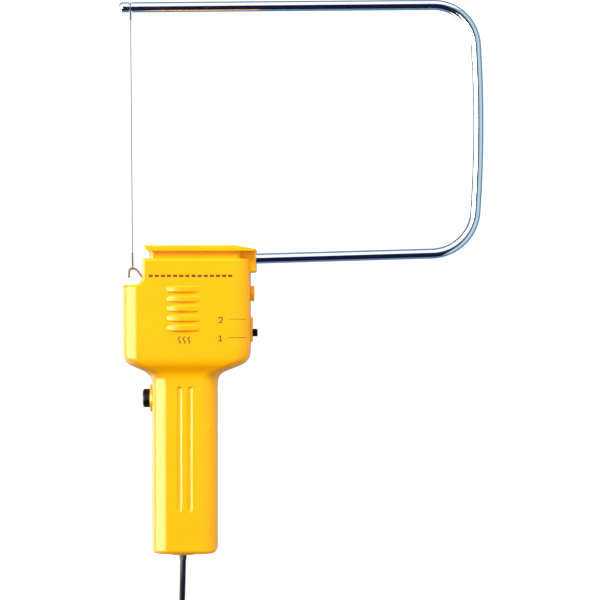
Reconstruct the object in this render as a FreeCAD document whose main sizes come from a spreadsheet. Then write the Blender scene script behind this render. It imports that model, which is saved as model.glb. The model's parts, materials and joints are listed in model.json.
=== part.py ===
"""Hot wire foam cutter, as a FreeCAD document.

A hand tool: two plastic half shells hold a small transformer, a push switch and a two-level slide switch.
A bent metal bow carries one end of a thin resistance wire, and a sprung hook on the head holds the other.

Frame, in millimetres: the tool lies on its back. X points across it, away from the wire. Y points along the
grip towards the bow. Z points up, out of the front face. The origin is on the flat back of the head, under
the centre line of the grip. The two shells part at mid_height, and the bow, the wire and the hook lie there.
"""

import FreeCAD, Part
import math
import os

import Sketcher
from FreeCAD import Placement, Rotation, Vector

DOC = FreeCAD.newDocument("hot_wire_cutter")
SIZES = DOC.addObject("Spreadsheet::Sheet", "Sizes")
NODES = []

DRIVING_SIZES = [
    # The two shells
    ("mid_height", 22.0),
    ("wall", 2.2),
    ("seam_gap", 0.16),
    ("fit_gap", 0.1),
    ("free_gap", 0.3),
    # Grip
    ("grip_half_width", 18.9),
    ("grip_half_depth", 17.0),
    ("grip_corner", 9.5),
    ("grip_end", -142.1),
    ("grip_end_round", 2.2),
    ("grip_groove_half", 1.7),
    ("grip_groove_depth", 0.9),
    ("grip_groove_left", -2.2),
    ("grip_groove_right", 3.9),
    ("grip_groove_top", -44.3),
    ("grip_groove_bottom", -117.6),
    # Shoulder between the grip and the head
    ("shoulder_start", -45.5),
    ("shoulder_end", -22.5),
    ("shoulder_run_out", 3.0),
    # Head
    ("head_left", -35.7),
    ("head_right", 38.4),
    ("head_half_depth", 22.0),
    ("head_corner", 9.2),
    ("ledge_level", 14.8),
    ("ledge_round", 5.0),
    ("crown_left", -23.7),
    ("notch_edge_round", 1.6),
    ("body_top", 30.1),
    ("body_top_round", 1.8),
    ("flange_base", 34.5),
    ("head_top", 37.7),
    ("neck_left", -20.2),
    ("neck_right", 33.2),
    ("rail_depth", 3.0),
    ("rail_round", 1.0),
    ("flange_corner", 2.2),
    ("flange_slant_left", 2.8),
    ("flange_slant_right", 11.5),
    ("flange_end_drop", 2.2),
    # Lug where the bow enters
    ("lug_right", 41.9),
    ("lug_bottom", 22.1),
    ("lug_top", 36.0),
    ("lug_half_depth", 14.0),
    ("lug_round", 1.2),
    # Raised louvres on the front
    ("louvre_left", -9.8),
    ("louvre_right", 10.4),
    ("louvre_half", 2.05),
    ("louvre_height", 1.2),
    ("louvre_pitch", 5.62),
    ("louvre_first", -10.3),
    ("louvre_round", 1.05),
    # Bow, tip and cutting wire
    ("bow_radius", 3.0),
    ("bow_bore", 2.0),
    ("bow_start_x", -31.4),
    ("bow_start_y", 178.55),
    ("bow_tilt", 0.47),
    ("bow_corner_top", 25.0),
    ("bow_corner_low", 26.5),
    ("bow_side_radius", 740.0),
    ("bow_side_right", 173.0),
    ("bow_side_middle", 109.0),
    ("bow_low_slope", 1.647),
    ("bow_inner_x", 14.0),
    ("bow_inner_y", 29.5),
    ("tip_end", -38.8),
    ("tip_bead", -33.2),
    ("tip_round", 1.9),
    ("tip_neck", 2.3),
    ("tip_spigot", -22.0),
    ("wire_radius", 0.25),
    ("twist_radius", 0.5),
    ("twist_top", 6.5),
    ("twist_low", 9.5),
    # Tension hook, its pivot and its spring
    ("hook_wire", 0.65),
    ("hook_crest_x", -29.3),
    ("hook_crest_y", 24.5),
    ("hook_bend", 2.0),
    ("hook_end_x", -33.4),
    ("hook_end_y", 19.0),
    ("pivot_x", -14.4),
    ("pivot_y", 12.0),
    ("eye_radius", 4.0),
    ("eye_turn", 285.0),
    ("pin_radius", 3.0),
    ("pin_collar", 4.5),
    ("pin_half", 10.0),
    ("post_radius", 5.0),
    ("post_gap", 4.6),
    ("spring_wire", 0.4),
    ("spring_radius", 3.9),
    # Push button
    ("button_y", -51.9),
    ("button_radius", 5.45),
    ("button_face", -24.8),
    ("button_boss_face", -20.4),
    ("button_boss_radius", 7.8),
    ("button_travel", 2.5),
    ("button_flange", 6.4),
    ("button_flange_face", -18.3),
    ("button_stem", 2.0),
    ("push_switch_face", -11.0),
    # Two-level slide knob
    ("knob_y", -13.3),
    ("knob_half", 2.2),
    ("knob_half_depth", 3.5),
    ("knob_face", 42.6),
    ("knob_travel", 3.6),
    ("knob_plate_half", 5.6),
    ("knob_boss_face", 39.8),
    ("knob_boss_low", -18.9),
    ("knob_boss_high", -4.1),
    ("knob_boss_half", 6.4),
    ("slide_switch_left", 28.7),
    ("slide_switch_right", 34.0),
    # Side boss, its screw, and the bracket that it holds
    ("side_boss_y", 9.7),
    ("side_boss_radius", 4.5),
    ("side_boss_face", 40.7),
    ("side_screw_head", 1.8),
    ("side_screw_shank", 1.2),
    ("bracket_thickness", 1.2),
    ("bracket_half", 4.0),
    ("clamp_left", 15.5),
    ("clamp_right", 28.0),
    ("clamp_low", 24.9),
    ("clamp_high", 34.6),
    ("clamp_half", 5.0),
    # Housing screws, driven from the back
    ("pillar_radius", 4.0),
    ("screw_seat", 9.5),
    ("screw_end", 33.0),
    ("screw_shank", 1.4),
    ("screw_head", 2.8),
    ("screw_head_height", 2.0),
    # Transformer
    ("core_y", -9.0),
    ("core_half_width", 19.0),
    ("core_half_height", 15.5),
    ("core_half_stack", 10.0),
    ("limb_half", 5.0),
    ("window_outer", 14.0),
    ("window_half_height", 10.5),
    ("bobbin_wall", 1.0),
    ("winding_outer", 13.2),
    ("winding_half_depth", 16.2),
    # Mains cord, its bushing and its clamp
    ("cord_radius", 1.75),
    ("cord_x", -1.3),
    ("cord_boss_radius", 10.0),
    ("cord_boss_height", 1.5),
    ("bushing_root", -122.0),
    ("bushing_face", -147.2),
    ("bushing_radius", 3.6),
    ("bushing_tip", 1.95),
    ("cord_clamp_y", -110.0),
    ("coil_x", 19.0),
    ("coil_y", -215.0),
    ("coil_outer", 24.7),
    ("coil_inner", 14.2),
    ("coil_height", 14.0),
    ("tie_thickness", 0.8),
    ("tie_half", 3.5),
]

# How many raised bars there are.
LOUVRES = 5

# Housing screws: places across and along the tool.
HOUSING_SCREWS = [(-17.0, 23.4), (28.4, 18.8), (-27.0, -17.5), (24.3, -21.0), (11.2, -68.0), (11.2, -126.0)]

# The free cord, from the bushing down to the surface that the tool lies on and into the coil.
CORD_ROUTE = [
    (-1.3, -147.2, 22.0),
    (-1.5, -158.0, 21.6),
    (-2.2, -170.0, 15.5),
    (-3.0, -181.0, 5.6),
    (-3.7, -193.0, 1.75),
    (-3.95, -205.6, 1.75),
]

# The free cord's other end, from the top of the coil down to the plug.
TAIL_ROUTE = [
    (28.2, -237.9, 12.25),
    (36.5, -238.1, 11.6),
    (46.0, -237.6, 8.4),
    (54.5, -237.4, 5.6),
    (62.0, -237.6, 5.2),
]

# Leads inside the shells: radius and route of each.
LEADS = {
    "hook_lead": (0.8, [(-8.4, 12.0, 17.1), (-4.0, 10.4, 16.0), (-1.5, 8.4, 24.0), (-4.0, 7.6, 35.0),
                        (-6.0, 3.0, 39.9), (-7.0, -4.0, 39.1)]),
    "arm_lead": (0.8, [(21.5, 23.6, 24.5), (20.5, 15.0, 27.0), (22.0, 6.0, 29.5), (23.5, -4.0, 29.5),
                       (25.6, -9.5, 25.0)]),
    "tap_lead": (0.8, [(25.6, -14.2, 25.0), (23.0, -13.0, 31.0), (20.5, -9.0, 37.0), (14.0, -5.0, 39.4),
                       (7.5, -3.4, 39.2)]),
    "switched_lead": (0.8, [(-2.9, -48.0, 22.0), (2.5, -45.0, 22.0), (5.0, -37.0, 26.0), (2.0, -29.0, 32.0),
                            (-3.5, -26.5, 37.6), (-6.0, -21.0, 40.2), (-6.0, -14.0, 39.2)]),
    "live_lead": (0.8, [(-1.9, -101.0, 23.0), (-4.2, -90.0, 23.0), (-2.2, -78.0, 22.0), (1.8, -68.0, 22.0),
                        (1.2, -59.5, 22.0), (-2.9, -55.4, 22.0)]),
    "neutral_lead": (0.8, [(-0.5, -101.0, 20.0), (1.8, -88.0, 18.0), (2.8, -74.0, 16.0), (3.6, -60.0, 15.0),
                           (4.6, -45.0, 13.0), (3.0, -31.0, 8.2), (5.5, -23.5, 4.0), (6.5, -14.5, 4.7)]),
}

ALONG = {
    "X": Rotation(Vector(0, 1, 0), 90),
    "Y": Rotation(Vector(1, 0, 0), -90),
    "Z": Rotation(),
}


def fill_sheet():
    """Writes the driving sizes, one per row, each under its own alias."""
    for row, (alias, value) in enumerate(DRIVING_SIZES, start=1):
        SIZES.set(f"A{row}", alias)
        SIZES.set(f"B{row}", repr(value))
        SIZES.setAlias(f"B{row}", alias)
    DOC.recompute()


def cells(text):
    """An expression in bare aliases, such as "wall / 2", with the sheet's name put before each alias."""
    aliases = {alias for alias, _ in DRIVING_SIZES}
    pieces = []
    word = ""
    for letter in f"{text} ":
        if letter.isalnum() or letter in "_.":
            word += letter
            continue
        pieces.append(f"Sizes.{word}" if word in aliases else word)
        pieces.append(letter)
        word = ""
    return "".join(pieces).strip()


def number(text):
    """The present value of such an expression."""
    return float(SIZES.evalExpression(cells(text)))


def bind(thing, path, text):
    thing.setExpression(path, cells(text))


# ---------------------------------------------------------------- Part primitives and booleans

def box(label, left, right, near, far, low, high):
    """A plain block between two corners, given along X, Y and Z."""
    thing = DOC.addObject("Part::Box", label)
    for path, start, end in (("Length", left, right), ("Width", near, far), ("Height", low, high)):
        bind(thing, path, f"({end}) - ({start})")
    for axis, start in (("x", left), ("y", near), ("z", low)):
        bind(thing, f"Placement.Base.{axis}", start)
    return thing


def set_on_axis(thing, axis, start, centre):
    """Stands a round primitive on its axis: centre holds its two other coordinates, in X, Y, Z order."""
    thing.Placement = Placement(Vector(), ALONG[axis])
    others = list(centre)
    for letter in "XYZ":
        place = start if letter == axis else others.pop(0)
        bind(thing, f"Placement.Base.{letter.lower()}", place)


def rod(label, axis, start, end, radius, *centre):
    thing = DOC.addObject("Part::Cylinder", label)
    bind(thing, "Radius", radius)
    bind(thing, "Height", f"({end}) - ({start})")
    set_on_axis(thing, axis, start, centre)
    return thing


def taper(label, axis, start, end, first_radius, last_radius, *centre):
    thing = DOC.addObject("Part::Cone", label)
    bind(thing, "Radius1", first_radius)
    bind(thing, "Radius2", last_radius)
    bind(thing, "Height", f"({end}) - ({start})")
    set_on_axis(thing, axis, start, centre)
    return thing


def join(label, things):
    if len(things) == 1:
        return things[0]
    thing = DOC.addObject("Part::MultiFuse", label)
    thing.Shapes = things
    return thing


def carve(label, base, tools):
    thing = DOC.addObject("Part::Cut", label)
    thing.Base = base
    thing.Tool = join(f"{label}_tools", tools)
    return thing


def along_bow(label):
    """A cylinder as thick as the bow, along its lower run from the inner end to outside the lug."""
    thing = rod(label, "X", "bow_inner_x", "lug_right + wall", "bow_radius", "bow_inner_y", "mid_height")
    thing.Placement = Placement(Vector(), Rotation(Vector(0, 0, 1), number("bow_low_slope")) * ALONG["X"])
    return thing


def group(label, things):
    """Identical loose pieces that share one node."""
    thing = DOC.addObject("Part::Compound", label)
    thing.Links = things
    return thing


def overlap(label, first, second):
    thing = DOC.addObject("Part::MultiCommon", label)
    thing.Shapes = [first, second]
    return thing


def node(label, thing):
    """Makes a document object one of the sub-parts that are written out."""
    thing.Label = label
    NODES.append(thing)
    return thing


# ---------------------------------------------------------------- Sketches and bodies

def body(label):
    return DOC.addObject("PartDesign::Body", label)


def sketch(owner, plane, height="0"):
    """A sketch on one of the body's own origin planes, moved to a height along X, Y or Z."""
    drawing = owner.newObject("Sketcher::SketchObject", f"{owner.Name}_sketch")
    support = next(item for item in owner.Origin.OriginFeatures if item.Role == f"{plane}_Plane")
    drawing.AttachmentSupport = [(support, "")]
    drawing.MapMode = "FlatFace"
    side = "-" if plane == "XZ" else ""
    bind(drawing, "AttachmentOffset.Base.z", f"{side}({height})")
    return drawing


def dimension(drawing, name, kind, places, text):
    """Adds a named constraint whose value follows the sheet."""
    index = drawing.addConstraint(Sketcher.Constraint(kind, *places, number(text)))
    drawing.renameConstraint(index, name)
    bind(drawing, f"Constraints.{name}", text)


def rounded(drawing, left, right, bottom, top, corner, name=""):
    """Draws a fully constrained rectangle with round corners."""
    west, east, south, north, radius = (number(text) for text in (left, right, bottom, top, corner))
    centres = [(east - radius, north - radius), (west + radius, north - radius),
               (west + radius, south + radius), (east - radius, south + radius)]
    arcs = []
    for quarter, (x, y) in enumerate(centres):
        circle = Part.Circle(Vector(x, y, 0), Vector(0, 0, 1), radius)
        start = math.radians(90 * quarter)
        arcs.append(drawing.addGeometry(Part.ArcOfCircle(circle, start, start + math.pi / 2), False))
    ends = [((east - radius, north), (west + radius, north)), ((west, north - radius), (west, south + radius)),
            ((west + radius, south), (east - radius, south)), ((east, south + radius), (east, north - radius))]
    sides = []
    for start, end in ends:
        sides.append(drawing.addGeometry(Part.LineSegment(Vector(*start, 0), Vector(*end, 0)), False))
    rules = []
    for quarter in range(4):
        following = arcs[(quarter + 1) % 4]
        rules.append(Sketcher.Constraint("Tangent", arcs[quarter], 2, sides[quarter], 1))
        rules.append(Sketcher.Constraint("Tangent", sides[quarter], 2, following, 1))
    for side in (0, 2):
        rules.append(Sketcher.Constraint("Horizontal", sides[side]))
        rules.append(Sketcher.Constraint("Vertical", sides[side + 1]))
    for other in arcs[1:]:
        rules.append(Sketcher.Constraint("Equal", arcs[0], other))
    drawing.addConstraint(rules)
    dimension(drawing, f"{name}corner", "Radius", (arcs[0],), corner)
    dimension(drawing, f"{name}left", "DistanceX", (sides[1], 1), left)
    dimension(drawing, f"{name}right", "DistanceX", (sides[3], 1), right)
    dimension(drawing, f"{name}top", "DistanceY", (sides[0], 1), top)
    dimension(drawing, f"{name}bottom", "DistanceY", (sides[2], 1), bottom)


def pad(owner, drawing, plane, start, end):
    feature = owner.newObject("PartDesign::Pad", f"{owner.Name}_pad")
    feature.Profile = drawing
    feature.Reversed = plane == "XZ"
    bind(feature, "Length", f"({end}) - ({start})")
    return feature


def slab(label, plane, start, end, left, right, bottom, top, corner, bore=None):
    """A body with a rounded rectangular section, from start to end along the axis across the plane.

    bore gives a second rounded rectangle, which is left open right through.
    """
    owner = body(label)
    drawing = sketch(owner, plane, start)
    rounded(drawing, left, right, bottom, top, corner)
    if bore:
        rounded(drawing, *bore, name="bore_")
    pad(owner, drawing, plane, start, end)
    DOC.recompute()
    return owner


def lies_at(axis, text):
    """Picks the edges that lie in one plane across an axis."""
    level = number(text)

    def test(edge):
        bounds = edge.BoundBox
        low = getattr(bounds, f"{axis}Min")
        high = getattr(bounds, f"{axis}Max")
        return abs(low - level) < 1e-4 and abs(high - level) < 1e-4

    return test


def soften(owner, radius, wanted):
    """Fillets the wanted edges of a body."""
    DOC.recompute()
    base = owner.Tip
    names = [f"Edge{place}" for place, edge in enumerate(base.Shape.Edges, start=1) if wanted(edge)]
    feature = owner.newObject("PartDesign::Fillet", f"{owner.Name}_fillet")
    feature.Base = (base, names)
    bind(feature, "Radius", radius)
    DOC.recompute()
    return feature


# ---------------------------------------------------------------- Shell forms

def shoulder_share(step):
    """How far the shoulder has widened at a step from 0 to 1: slow at both ends and steep between."""
    steepness = 6.2
    return 0.5 + math.tanh(steepness * (step - 0.5)) / math.tanh(steepness / 2) / 2


def shoulder_part(step, grip_size, head_size):
    """An expression that blends from the grip's size to the head's, step going from 0 to 1."""
    share = shoulder_share(step)
    return f"({grip_size}) * {1 - share:.6f} + ({head_size}) * {share:.6f}"


def shoulder(label, inset, rise="0"):
    """The flared form between the grip and the head, drawn in by inset on every side and raised by rise."""
    steps = [-1, 0, 0.16, 0.3, 0.38, 0.46, 0.54, 0.62, 0.7, 0.84, 1, 2]
    sections = []
    for place, step in enumerate(steps):
        share = min(max(step, 0), 1)
        level = f"shoulder_start + (shoulder_end - shoulder_start) * {share} + {rise}"
        if step < 0:
            level = "shoulder_start - shoulder_run_out"
        if step > 1:
            level = "shoulder_end + shoulder_run_out"
        depth = shoulder_part(share, "grip_half_depth", "head_half_depth")
        section = DOC.addObject("Sketcher::SketchObject", f"{label}_section_{place}")
        section.Placement = Placement(Vector(), Rotation(Vector(1, 0, 0), 90))
        bind(section, "Placement.Base.y", level)
        rounded(
            section,
            shoulder_part(share, "-grip_half_width", "head_left") + f" + {inset}",
            shoulder_part(share, "grip_half_width", "head_right") + f" - {inset}",
            f"mid_height - ({depth}) + {inset}",
            f"mid_height + ({depth}) - {inset}",
            shoulder_part(share, "grip_corner", "head_corner") + f" - {inset}",
        )
        sections.append(section)
    DOC.recompute()
    thing = DOC.addObject("Part::Loft", label)
    thing.Sections = sections
    thing.Solid = True
    return thing


def head(label, inset):
    """The head's block with the notch that leaves room for the hook at its upper left."""
    block = slab(
        label, "XZ", "shoulder_end + shoulder_run_out", f"body_top - {inset}",
        f"head_left + {inset}", f"head_right - {inset}",
        f"mid_height - head_half_depth + {inset}", f"mid_height + head_half_depth - {inset}",
        f"head_corner - {inset}",
    )
    notch = sketch(block, "XY", "0")
    beyond = "5"
    rounded(notch, f"head_left - {beyond} * 4", f"crown_left + {inset}", f"ledge_level - {inset}",
            f"body_top + {beyond} * 4", "ledge_round" if inset == "0" else "ledge_round + wall")
    pocket = block.newObject("PartDesign::Pocket", f"{label}_notch")
    pocket.Profile = notch
    pocket.Type = 1
    pocket.Midplane = True
    DOC.recompute()
    return block


def notch_edges(edge):
    """Picks the edges where the notch meets the head's front and back faces."""
    bounds = edge.BoundBox
    flat = abs(bounds.ZMax - bounds.ZMin) < 1e-4
    outer = min(abs(bounds.ZMax - 2 * number("mid_height")), abs(bounds.ZMin)) < 1e-4
    inside = bounds.XMax < number("crown_left") + 0.01 and bounds.XMin > number("head_left") + 1
    return flat and outer and inside and bounds.YMin > number("ledge_level") - 0.01


def outer_form():
    """The closed outside of both shells together."""
    grip = slab(
        "grip_form", "XZ", "grip_end", "shoulder_start - shoulder_run_out", "-grip_half_width", "grip_half_width",
        "mid_height - grip_half_depth", "mid_height + grip_half_depth", "grip_corner",
    )
    soften(grip, "grip_end_round", lies_at("Y", "grip_end"))
    head_block = head("head_form", "0")
    soften(head_block, "notch_edge_round", notch_edges)
    soften(head_block, "body_top_round", lies_at("Y", "body_top"))
    neck = slab(
        "neck_form", "XZ", "body_top - wall", "flange_base + wall", "neck_left", "neck_right",
        "mid_height - head_half_depth + rail_depth", "mid_height + head_half_depth - rail_depth", "rail_depth",
    )
    flange = slab(
        "flange_form", "XZ", "flange_base", "head_top", "crown_left", "lug_right",
        "mid_height - head_half_depth", "mid_height + head_half_depth", "flange_corner",
    )
    soften(flange, "rail_round", lies_at("Y", "head_top"))
    flange_rise = "(head_top - flange_base)"
    slanted = carve("slanted_flange", flange, [
        leaning_block("flange_left_slant", "crown_left + flange_slant_left", "flange_base", "-flange_slant_left",
                      flange_rise),
        leaning_block("flange_right_slant", "lug_right - flange_slant_right", "head_top", "flange_slant_right",
                      "-flange_end_drop"),
    ])
    lug = slab(
        "lug_form", "YZ", "neck_right - wall * 2", "lug_right", "lug_bottom", "lug_top",
        "mid_height - lug_half_depth", "mid_height + lug_half_depth", "lug_round",
    )
    soften(lug, "lug_round", lies_at("X", "lug_right"))
    return join("outer_form", [
        grip,
        shoulder("shoulder_form", "0"),
        head_block,
        neck,
        slanted,
        lug,
        *[louvre(place) for place in range(LOUVRES)],
        *side_bosses(),
    ])


def leaning_block(label, across, along, run, rise):
    """A cutting block that stands on a slanted line: it starts at a point and lies to the line's left."""
    thing = DOC.addObject("Part::Box", label)
    angle = math.degrees(math.atan2(number(rise), number(run)))
    thing.Placement = Placement(Vector(), Rotation(Vector(0, 0, 1), angle))
    bind(thing, "Placement.Base.x", across)
    bind(thing, "Placement.Base.y", along)
    bind(thing, "Length", "head_half_depth")
    bind(thing, "Width", "head_half_depth")
    bind(thing, "Height", "head_half_depth * 2")
    return thing


def louvre(place):
    """One raised bar across the front of the head, highest half-way along and round at its edges."""
    middle = f"louvre_first + louvre_pitch * {place}"
    face = "mid_height + head_half_depth"
    blank = slab(
        "louvre_blank", "XY", f"{face} - wall / 2", f"{face} + louvre_height", "louvre_left", "louvre_right",
        f"{middle} - louvre_half", f"{middle} + louvre_half", "louvre_half - 0.05",
    )
    half = "(louvre_right - louvre_left) / 2"
    radius = f"(({half}) ^ 2 + louvre_height ^ 2) / (2 * louvre_height)"
    dome = rod("louvre_dome", "Y", f"{middle} - louvre_half * 2", f"{middle} + louvre_half * 2", radius,
               "(louvre_left + louvre_right) / 2", f"{face} + louvre_height - {radius}")
    bar = overlap("louvre_bar", blank, dome)
    DOC.recompute()
    foot = number(f"{face} - wall / 2")
    roundness = number("louvre_round")
    thing = DOC.addObject("Part::Fillet", "louvre")
    thing.Base = bar
    thing.Edges = [
        (index, roundness, roundness)
        for index, edge in enumerate(bar.Shape.Edges, start=1)
        if edge.BoundBox.ZMin > foot + roundness / 2
    ]
    DOC.recompute()
    return thing


def side_bosses():
    """Bosses around the push button, the slide knob, the side screw and the cord."""
    button = taper(
        "button_boss", "X", "button_boss_face", "-grip_half_width + wall", "button_boss_radius",
        "button_boss_radius + 1", "button_y", "mid_height",
    )
    knob = slab(
        "knob_boss", "YZ", "head_right - wall", "knob_boss_face", "knob_boss_low", "knob_boss_high",
        "mid_height - knob_boss_half", "mid_height + knob_boss_half", "1.5",
    )
    soften(knob, "0.7", lies_at("X", "knob_boss_face"))
    screw = rod(
        "screw_boss", "X", "head_right - wall", "side_boss_face", "side_boss_radius", "side_boss_y", "mid_height",
    )
    cord = taper(
        "cord_boss", "Y", "grip_end - cord_boss_height", "grip_end + grip_end_round",
        "cord_boss_radius - cord_boss_height", "cord_boss_radius + grip_end_round", "cord_x", "mid_height",
    )
    return [button, knob, screw, cord]


def inner_form():
    """The closed space inside both shells."""
    grip = slab(
        "grip_space", "XZ", "grip_end + wall", "shoulder_start - shoulder_run_out", "-grip_half_width + wall",
        "grip_half_width - wall", "mid_height - grip_half_depth + wall", "mid_height + grip_half_depth - wall",
        "grip_corner - wall",
    )
    neck = slab(
        "neck_space", "XZ", "body_top - wall * 2", "head_top - wall", "neck_left + wall", "neck_right - wall",
        "mid_height - head_half_depth + rail_depth + wall", "mid_height + head_half_depth - rail_depth - wall",
        "0.8",
    )
    return join("inner_form", [grip, shoulder("shoulder_space", "wall", "wall * 0.6"), head("head_space", "wall"), neck])


def inner_supports():
    """Screw pillars, the hook pin's posts, rests for the transformer and the cord's saddle."""
    low = "mid_height - head_half_depth + wall / 2"
    high = "mid_height + head_half_depth - wall / 2"
    things = []
    for place, (across, along) in enumerate(HOUSING_SCREWS):
        inset = "0" if along > -40 else "head_half_depth - grip_half_depth"
        things.append(rod(
            f"pillar_{place}", "Z", f"{low} + {inset}", f"{high} - ({inset})", "pillar_radius", across, along,
        ))
    things.append(rod("post_low", "Z", low, "mid_height - post_gap", "post_radius", "pivot_x", "pivot_y"))
    things.append(rod("post_high", "Z", "mid_height + post_gap", high, "post_radius", "pivot_x", "pivot_y"))
    rest = "2.5"
    for side in (-1, 1):
        for end in (-1, 1):
            across = f"{side} * (core_half_width - {rest} / 2)"
            along = f"core_y + {end} * (core_half_height - {rest} / 2)"
            spread = (f"{across} - {rest} / 2", f"{across} + {rest} / 2",
                      f"{along} - {rest} / 2", f"{along} + {rest} / 2")
            things.append(box("rest_low", *spread, low, "mid_height - core_half_stack"))
            things.append(box("rest_high", *spread, "mid_height + core_half_stack", high))
    return things


def finger_groove(middle, side):
    """A round-bottomed groove along the grip, with round ends; side is 1 on the front and -1 on the back."""
    radius = "(grip_groove_half ^ 2 + grip_groove_depth ^ 2) / (2 * grip_groove_depth)"
    height = f"mid_height + {side} * (grip_half_depth - grip_groove_depth + {radius})"
    pieces = [rod("groove_run", "Y", "grip_groove_bottom + grip_groove_half",
                  "grip_groove_top - grip_groove_half", radius, middle, height)]
    for end in ("grip_groove_bottom + grip_groove_half", "grip_groove_top - grip_groove_half"):
        ball = DOC.addObject("Part::Sphere", "groove_end")
        bind(ball, "Radius", radius)
        bind(ball, "Placement.Base.x", middle)
        bind(ball, "Placement.Base.y", end)
        bind(ball, "Placement.Base.z", height)
        pieces.append(ball)
    return join("finger_groove", pieces)


def openings():
    """Everything that is cut through the shells or into their faces."""
    back = "mid_height - head_half_depth - wall"
    tools = []
    for place, (across, along) in enumerate(HOUSING_SCREWS):
        tools.append(rod(f"seat_{place}", "Z", back, "screw_seat", "screw_head + free_gap", across, along))
        tools.append(rod(f"pilot_{place}", "Z", "screw_seat - wall", "screw_end + wall", "screw_shank + fit_gap",
                         across, along))
    tools.append(rod("pin_hole", "Z", "mid_height - pin_half", "mid_height + pin_half", "pin_radius",
                     "pivot_x", "pivot_y"))
    tools.append(along_bow("bow_hole"))
    slot_depth = ("mid_height - hook_wire * 2", "mid_height + hook_wire * 2")
    tools.append(box("hook_slot", "crown_left - wall", "crown_left + wall * 2", "ledge_level - wall - 0.4",
                     "ledge_level + 6.2", *slot_depth))
    tools.append(box("hook_slot_mouth", "crown_left - ledge_round", "crown_left", "ledge_level + 0.6",
                     "ledge_level + 6.2", *slot_depth))
    tools.append(rod("button_hole", "X", "button_face - wall", "-grip_half_width + wall",
                     "button_radius + free_gap", "button_y", "mid_height"))
    tools.append(rod("button_well", "X", "button_flange_face - free_gap / 2", "-grip_half_width + wall * 2",
                     "button_flange + free_gap", "button_y", "mid_height"))
    tools.append(slab(
        "knob_slot", "YZ", "head_right - wall * 2", "knob_boss_face + wall", "knob_y - knob_half - free_gap",
        "knob_y + knob_half + knob_travel + free_gap", "mid_height - knob_half_depth - free_gap",
        "mid_height + knob_half_depth + free_gap", "0.6",
    ))
    tools.append(rod("side_screw_seat", "X", "head_right + 0.4", "side_boss_face + wall",
                     "side_screw_head + fit_gap", "side_boss_y", "mid_height"))
    tools.append(rod("side_screw_hole", "X", "head_right - wall * 2", "side_boss_face",
                     "side_screw_shank + fit_gap", "side_boss_y", "mid_height"))
    tools.append(taper("bushing_hole", "Y", "bushing_face", "bushing_root", "bushing_tip", "bushing_radius",
                       "cord_x", "mid_height"))
    for middle in ("grip_groove_left", "grip_groove_right"):
        tools.append(finger_groove(middle, 1))
        tools.append(finger_groove(middle, -1))
    return tools


def shells():
    hollow = carve("hollow_form", outer_form(), [inner_form()])
    supported = join("supported_form", [hollow, *inner_supports()])
    whole = carve("whole_form", supported, openings())
    span = ("head_left - wall * 4", "lug_right + wall * 4", "grip_end - wall * 4", "head_top + wall * 4")
    front = box("front_half", *span, "mid_height + seam_gap / 2", "mid_height + head_half_depth * 2")
    rear = box("rear_half", *span, "mid_height - head_half_depth * 2", "mid_height - seam_gap / 2")
    node("front_shell", overlap("front_shell", whole, front))
    saddle = box("saddle", "cord_x - 2", "cord_x + 2", "cord_clamp_y - 4", "cord_clamp_y + 4",
                 "mid_height - grip_half_depth + wall / 2", "mid_height - cord_radius")
    posts = [
        rod(f"clamp_post_{side}", "Z", "mid_height - grip_half_depth + wall / 2", "mid_height - seam_gap / 2", "2.6",
            f"cord_x + {side} * 7", "cord_clamp_y")
        for side in (-1, 1)
    ]
    pilots = [
        rod(f"clamp_pilot_{side}", "Z", "mid_height - 9", "mid_height", "1.2", f"cord_x + {side} * 7",
            "cord_clamp_y")
        for side in (-1, 1)
    ]
    rear_plain = join("rear_plain", [overlap("rear_cut", whole, rear), saddle, *posts])
    node("rear_shell", carve("rear_shell", rear_plain, pilots))


# ---------------------------------------------------------------- Bow, tip, wire and hook

def inside_corner(point, angle, side, radius, centre, big_radius):
    """Where an arc of one radius touches a line and, from inside, a big circle.

    The line starts at point and runs at angle in degrees; side is 1 when the arc lies to its left, -1 to its
    right. Gives the arc's centre and its two touching points, on the line and on the circle.
    """
    along = Vector(math.cos(math.radians(angle)), math.sin(math.radians(angle)), 0)
    across = Vector(-along.y, along.x, 0) * side
    start = point + across * radius - centre
    reach = big_radius - radius
    half = start.dot(along)
    distance = -half + math.sqrt(half * half - start.dot(start) + reach * reach)
    middle = centre + start + along * distance
    on_line = middle - across * radius
    on_circle = centre + (middle - centre).normalize() * big_radius
    return middle, on_line, on_circle


def short_arc(centre, start, end):
    """The anticlockwise arc from start to end."""
    radius = (start - centre).Length
    first = math.atan2(start.y - centre.y, start.x - centre.x)
    last = math.atan2(end.y - centre.y, end.x - centre.x)
    return Part.ArcOfCircle(Part.Circle(centre, Vector(0, 0, 1), radius), first, last)


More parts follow.
